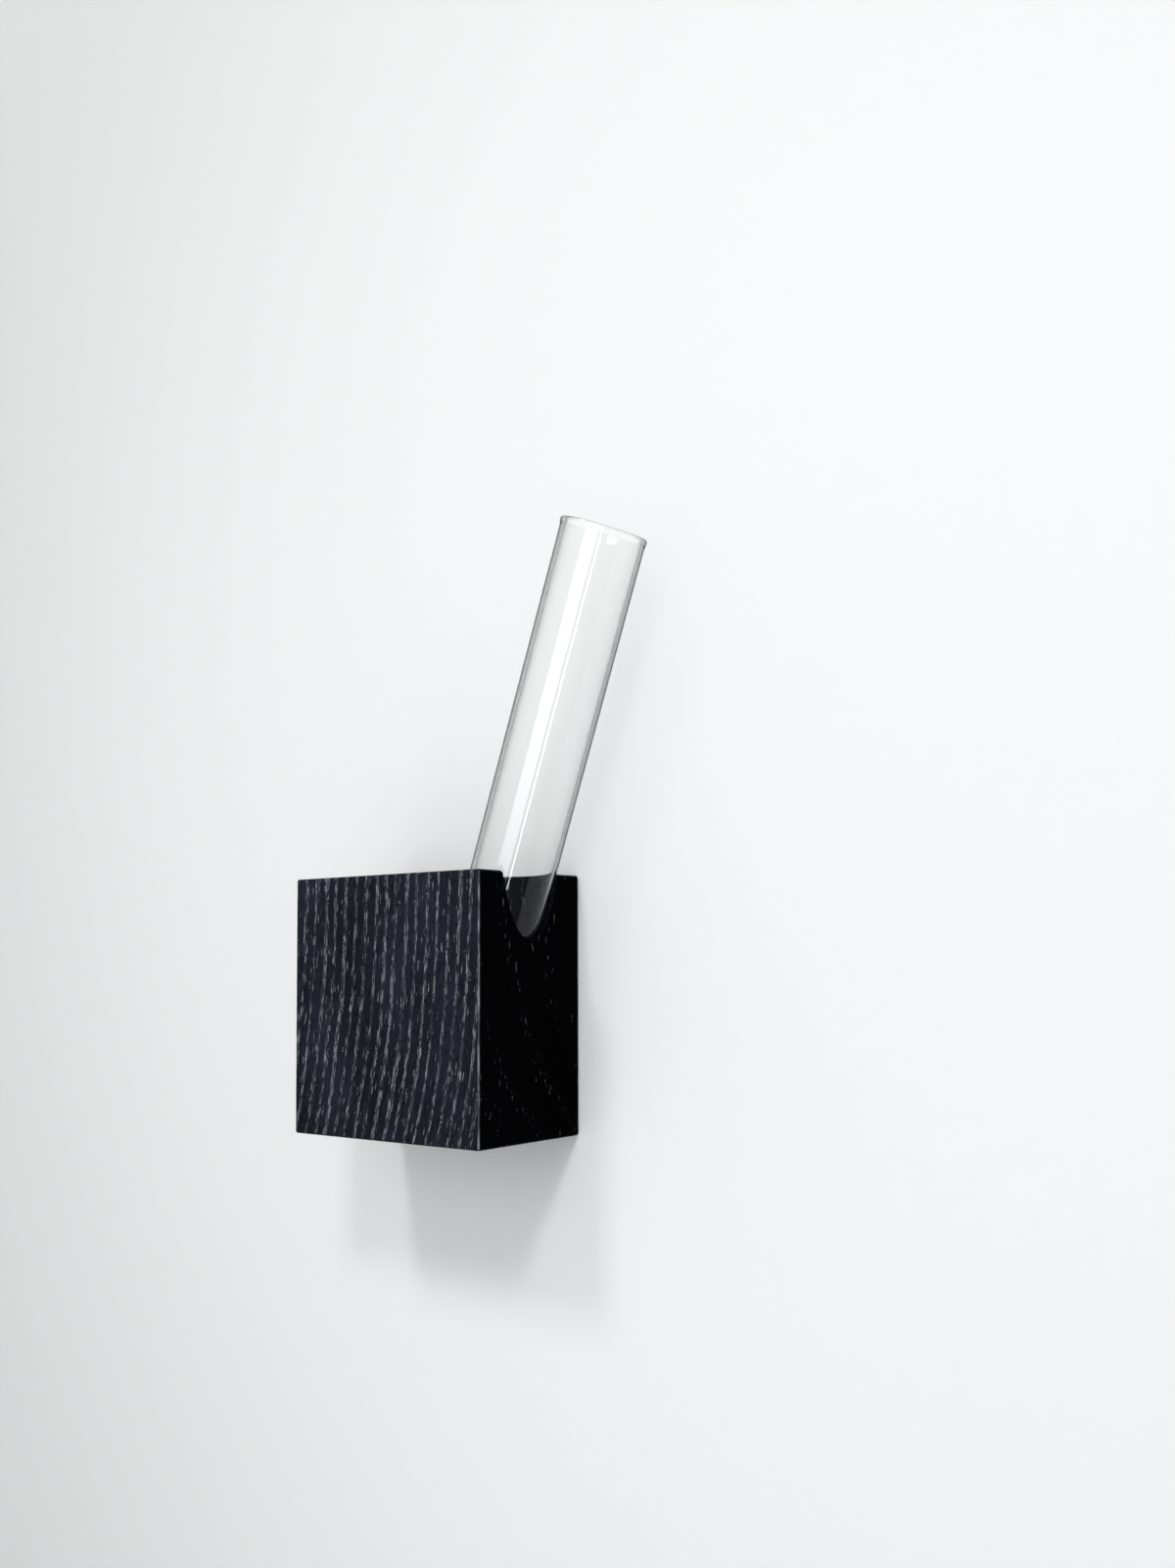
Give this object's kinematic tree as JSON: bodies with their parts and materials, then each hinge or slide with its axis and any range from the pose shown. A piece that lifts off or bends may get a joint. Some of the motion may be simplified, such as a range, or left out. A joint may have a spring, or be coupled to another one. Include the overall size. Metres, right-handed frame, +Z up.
{
  "type": "wall mounted glass flower tube",
  "caption": "Round-bottomed glass tube standing at a slant in a blind bore of a black stained wood block that hangs flat on a wall by a keyhole plate in its back.",
  "frame": {"origin": "centre of the block's flat back face, the face that lies against the wall", "axes": "+Y into the wall, +Z up, +X to the right as seen from the front, the side towards which the tube leans"},
  "size_m": [0.1431, 0.052, 0.2167],
  "materials": {
    "stained_ash": "black stained, open-pored ash, matt, with pale grey pores",
    "clear_glass": "clear borosilicate glass, fire-polished rim",
    "zinc_plated_steel": "zinc plated sheet steel",
    "screw_steel": "zinc plated, satin"
  },
  "bodies": {
    "block": {"wood_block": "stained_ash", "hanger_plate": "zinc_plated_steel", "hanger_screws": "screw_steel"},
    "tube": {"glass_tube": "clear_glass"}
  },
  "joints": [
    {"name": "tube_lift", "type": "slide", "parent": "block", "child": "tube", "axis": [0.342, 0, 0.9397], "range_m": [0, 0.09]}
  ]
}
